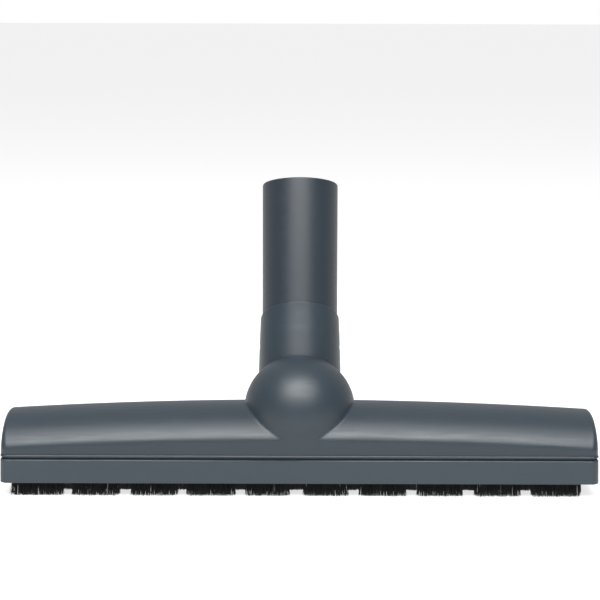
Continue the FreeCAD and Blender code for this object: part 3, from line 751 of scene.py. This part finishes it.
L0 = 14.1
TB = Build()
R1 = 19.88
MO = 0.72     # outer rounding at the mouth
MI = 0.55
top = 124.35 - 0.08
pr = [
    line((15.5, L0), (18.0, L0)),
    line((18.0, L0), (18.0, 36.1)),
    line((18.0, 36.1), (17.0, 36.1)),
    line((17.0, 36.1), (17.0, 39.3)),
    line((17.0, 39.3), (18.0, 39.3)),
    line((18.0, 39.3), (18.0, 44.2)),
    line((18.0, 44.2), (19.35, 45.55)),
    line((19.35, 45.55), (19.6, 46.0)),
    line((19.6, 46.0), (19.6, 66.0), 4),
    line((19.6, 66.0), (R1, top - MO), 12),
    arc((R1 - MO, top - MO), MO, 0, 90, 9),
    line((R1 - MO, top), (17.6 + MI + 0.25, top)),
    arc((17.6 + MI + 0.25, top - MI), MI, 90, 165, 7),
    line((17.6 + 0.25 + MI - MI * math.cos(math.radians(15)), top - MI + MI * math.sin(math.radians(15))), (17.6, top - 1.6)),
    line((17.6, top - 1.6), (17.6, 73.45), 10),
    line((17.6, 73.45), (15.5, 72.25)),
    line((15.5, 72.25), (15.5, L0), 6),
]
revolve(TB, pr)
TB.make("tube_skin", M_TUBE, "tube", ["connecting_tube"])

# ---------------------------------------------------------------------------
# bristles
# ---------------------------------------------------------------------------
TUFTS = [(-144.5, -118.75), (-113.75, -90.75), (-84.25, -61.25), (-56.25, -32.25), (-26.75, -5.25),
         (2.25, 24.25), (30.25, 53.25), (59.25, 81.75), (88.25, 110.75), (116.75, 141.25)]


def strands(name, s, tufts, lo_x, hi_x, body, node):
    """Thousands of tapered filaments, each a bent three-sided rod."""
    pitch = 0.44
    nx = int((hi_x - lo_x - 0.4) / pitch)
    ny = 7
    xs = lo_x + 0.2 + (np.arange(nx)[None, :] + 0.5) * (hi_x - lo_x - 0.4) / nx + np.zeros((ny, 1))
    fs = 19.95 + (np.arange(ny)[:, None] + 0.5) * (3.1 / ny) + np.zeros((1, nx))
    xs = xs + (np.arange(ny)[:, None] % 2) * pitch * 0.5
    x = (xs + RNG.uniform(-0.16, 0.16, xs.shape)).ravel()
    f = (fs + RNG.uniform(-0.13, 0.13, fs.shape)).ravel()
    n = len(x)
    tip = RNG.uniform(0.0, 0.22, n) + np.abs(RNG.normal(0, 0.12, n))
    stray = RNG.random(n) < 0.02
    tip = np.where(stray, tip + RNG.uniform(0.2, 0.8, n), tip)
    dx = RNG.normal(0, 0.22, n)
    df = RNG.normal(0, 0.16, n) + (f - 21.5) * 0.22 + 1.5
    # clumps lean together
    df += 0.28 * np.sin(x * 0.9 + 1.3) * np.sin(x * 0.23)
    tip += 0.18 * (1 + np.sin(x * 1.7) * np.sin(x * 0.41 + 2.0)) * 0.5
    inside = np.zeros(n, bool)
    for (a, b) in tufts:
        k = (x >= a) & (x <= b)
        inside |= k
        u = (x - (a + b) / 2) / ((b - a) / 2)
        dx = np.where(k, dx + np.sign(u) * np.abs(u) ** 6 * 0.55, dx)
        tip = np.where(k, tip + np.abs(u) ** 14 * 0.5, tip)
    edge = np.zeros(n)
    tip = np.where(inside, tip, 2.75 + RNG.uniform(0, 0.5, n))
    dx = np.where(inside, dx, dx * 0.3)
    df = np.where(inside, df, df * 0.5)
    if len(tufts) > 1:
        # left end: a few loose filaments lean out; right end: worn round
        lft = x < lo_x + 2.4
        loose = lft & (RNG.random(n) < 0.35)
        dx = np.where(loose, dx - RNG.uniform(0.3, 1.7, n), dx)
        tip = np.where(loose, tip + RNG.uniform(0.2, 1.2, n), tip)
        rgt = x > tufts[-1][1] - 2.6
        q = np.clip((x - (tufts[-1][1] - 2.6)) / 2.6, 0, 1)
        tip = np.where(rgt & inside, tip + (1 - np.sqrt(np.maximum(0, 1 - q**2))) * 2.3, tip)
    rad = RNG.uniform(0.13, 0.2, n)
    ang = RNG.uniform(0, 2 * math.pi, n)
    zs = [10.6, 6.4, 3.2, None]
    V_, F_ = [], []
    lev = 4
    k3 = np.arange(3) * 2 * math.pi / 3
    for li, z0 in enumerate(zs):
        z = tip if z0 is None else np.maximum(z0, tip + (3 - li) * 0.3)
        u = np.clip((7.4 - z) / 7.4, 0, 1)
        bend = u**1.6
        cx = x + dx * bend
        cf = f + df * bend
        rr_ = rad * (1.0 if li < 3 else 0.55)
        px = cx[:, None] + rr_[:, None] * np.cos(ang[:, None] + k3)
        py = s * cf[:, None] + rr_[:, None] * np.sin(ang[:, None] + k3)
        pz = np.broadcast_to(z[:, None], px.shape) + (0 if z0 is not None else 0.0)
        V_.append(np.stack([px, py, pz], 2))
    V_ = np.stack(V_, 1)                      # (n, levels, 3, 3)
    V_[..., 2] = np.maximum(V_[..., 2], 0.0)
    idx = np.arange(n * lev * 3).reshape(n, lev, 3)
    quads = []
    for li in range(lev - 1):
        for k in range(3):
            k2 = (k + 1) % 3
            quads.append(np.stack([idx[:, li, k], idx[:, li + 1, k], idx[:, li + 1, k2], idx[:, li, k2]], 1))
    quads = np.concatenate(quads)
    tris = np.concatenate([idx[:, -1, ::-1], idx[:, 0, :]])
    verts = (V_.reshape(-1, 3) + np.array([0, OY, 0])) / 1000.0
    me = bpy.data.meshes.new(name)
    me.from_pydata(verts.tolist(), [], quads.tolist() + tris.tolist())
    me.update()
    me.polygons.foreach_set("use_smooth", [True] * len(quads) + [False] * len(tris))
    o = bpy.data.objects.new(name, me)
    bpy.context.scene.collection.objects.link(o)
    me.materials.append(M_FIBRE)
    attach(o, body)
    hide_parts(node)
    return o


strands("front_filaments", -1, TUFTS, -144.5, 141.25, "housing", "front_bristles")
strands("rear_filaments", 1, [(-143.0, 143.0)], -143.0, 143.0, "housing", "rear_bristles")

# ---------------------------------------------------------------------------
# floor, light and camera
# ---------------------------------------------------------------------------
def plain(name, col, rough, glow):
    m = bpy.data.materials.new(name)
    m.use_nodes = True
    b = m.node_tree.nodes["Principled BSDF"]
    b.inputs["Base Color"].default_value = (*col, 1)
    b.inputs["Roughness"].default_value = rough
    b.inputs["Specular IOR Level"].default_value = 0.05
    b.inputs["Emission Color"].default_value = (1, 1, 1, 1)
    b.inputs["Emission Strength"].default_value = glow
    return m


fm = bpy.data.meshes.new("floor")
fm.from_pydata([(-60, -60, 0), (60, -60, 0), (60, 60, 0), (-60, 60, 0)], [], [(0, 1, 2, 3)])
fl = bpy.data.objects.new("floor", fm)
bpy.context.scene.collection.objects.link(fl)
fm.materials.append(plain("mat_floor", (0.45, 0.45, 0.45), 0.95, 0.72))

W_FRONT, W_BACK = 0.16, 0.62
world = bpy.data.worlds.new("studio")
bpy.context.scene.world = world
world.use_nodes = True
wt = world.node_tree
bg = wt.nodes["Background"]
bg.inputs["Color"].default_value = (1, 1, 1, 1)
bg.inputs["Strength"].default_value = 1.0
# a white room behind the object, dimmer walls to the front and sides
geo = wt.nodes.new("ShaderNodeTexCoord")
sep = wt.nodes.new("ShaderNodeSeparateXYZ")
wt.links.new(geo.outputs["Generated"], sep.inputs[0])
mr = wt.nodes.new("ShaderNodeMapRange")
mr.interpolation_type = "SMOOTHSTEP"
mr.inputs["From Min"].default_value = -0.15
mr.inputs["From Max"].default_value = 0.55
mr.inputs["To Min"].default_value = W_FRONT
mr.inputs["To Max"].default_value = W_BACK
wt.links.new(sep.outputs["Y"], mr.inputs["Value"])
bg2 = wt.nodes.new("ShaderNodeBackground")
bg2.inputs["Color"].default_value = (1, 1, 1, 1)
wt.links.new(mr.outputs["Result"], bg2.inputs["Strength"])
lp = wt.nodes.new("ShaderNodeLightPath")
ms = wt.nodes.new("ShaderNodeMixShader")
wt.links.new(lp.outputs["Is Camera Ray"], ms.inputs["Fac"])
wt.links.new(bg2.outputs[0], ms.inputs[1])
wt.links.new(bg.outputs[0], ms.inputs[2])
wt.links.new(ms.outputs[0], wt.nodes["World Output"].inputs["Surface"])


def area(name, loc, target, size, power, size_y=None):
    d = bpy.data.lights.new(name, "AREA")
    d.shape = "RECTANGLE"
    d.size = size
    d.size_y = size_y or size
    d.energy = power
    o = bpy.data.objects.new(name, d)
    bpy.context.scene.collection.objects.link(o)
    o.location = loc
    o.rotation_mode = "QUATERNION"
    o.rotation_quaternion = (Vector(target) - Vector(loc)).to_track_quat("-Z", "Y")
    return o


def polar(az, el, dist, tgt=(0, -0.02, 0.06)):
    a, e = math.radians(az), math.radians(el)
    return (tgt[0] + dist * math.sin(a) * math.cos(e), tgt[1] - dist * math.cos(a) * math.cos(e), tgt[2] + dist * math.sin(e))


area("key", polar(-3, 55, 1.6), (0, -0.02, 0.06), 1.9, 39.0, 1.35)
area("key_core", polar(-3, 55, 1.55), (0, -0.02, 0.06), 1.0, 17.0, 0.7)

cam = bpy.data.cameras.new("camera")
cam.lens = 108.0
cam.sensor_width = 36.0
co = bpy.data.objects.new("camera", cam)
bpy.context.scene.collection.objects.link(co)
co.location = (0.00005, -0.9009 + OY / 1000.0, 0.23861)
e0 = math.radians(9.0)
co.rotation_mode = "QUATERNION"
q = Vector((0, math.cos(e0), -math.sin(e0))).to_track_quat("-Z", "Y")
roll = Matrix.Rotation(math.radians(-0.17), 3, Vector((0, math.cos(e0), -math.sin(e0)))).to_quaternion()
co.rotation_quaternion = roll @ q
cam.clip_start = 0.01
cam.clip_end = 50
bpy.context.scene.camera = co
bpy.context.scene.view_settings.view_transform = "Standard"
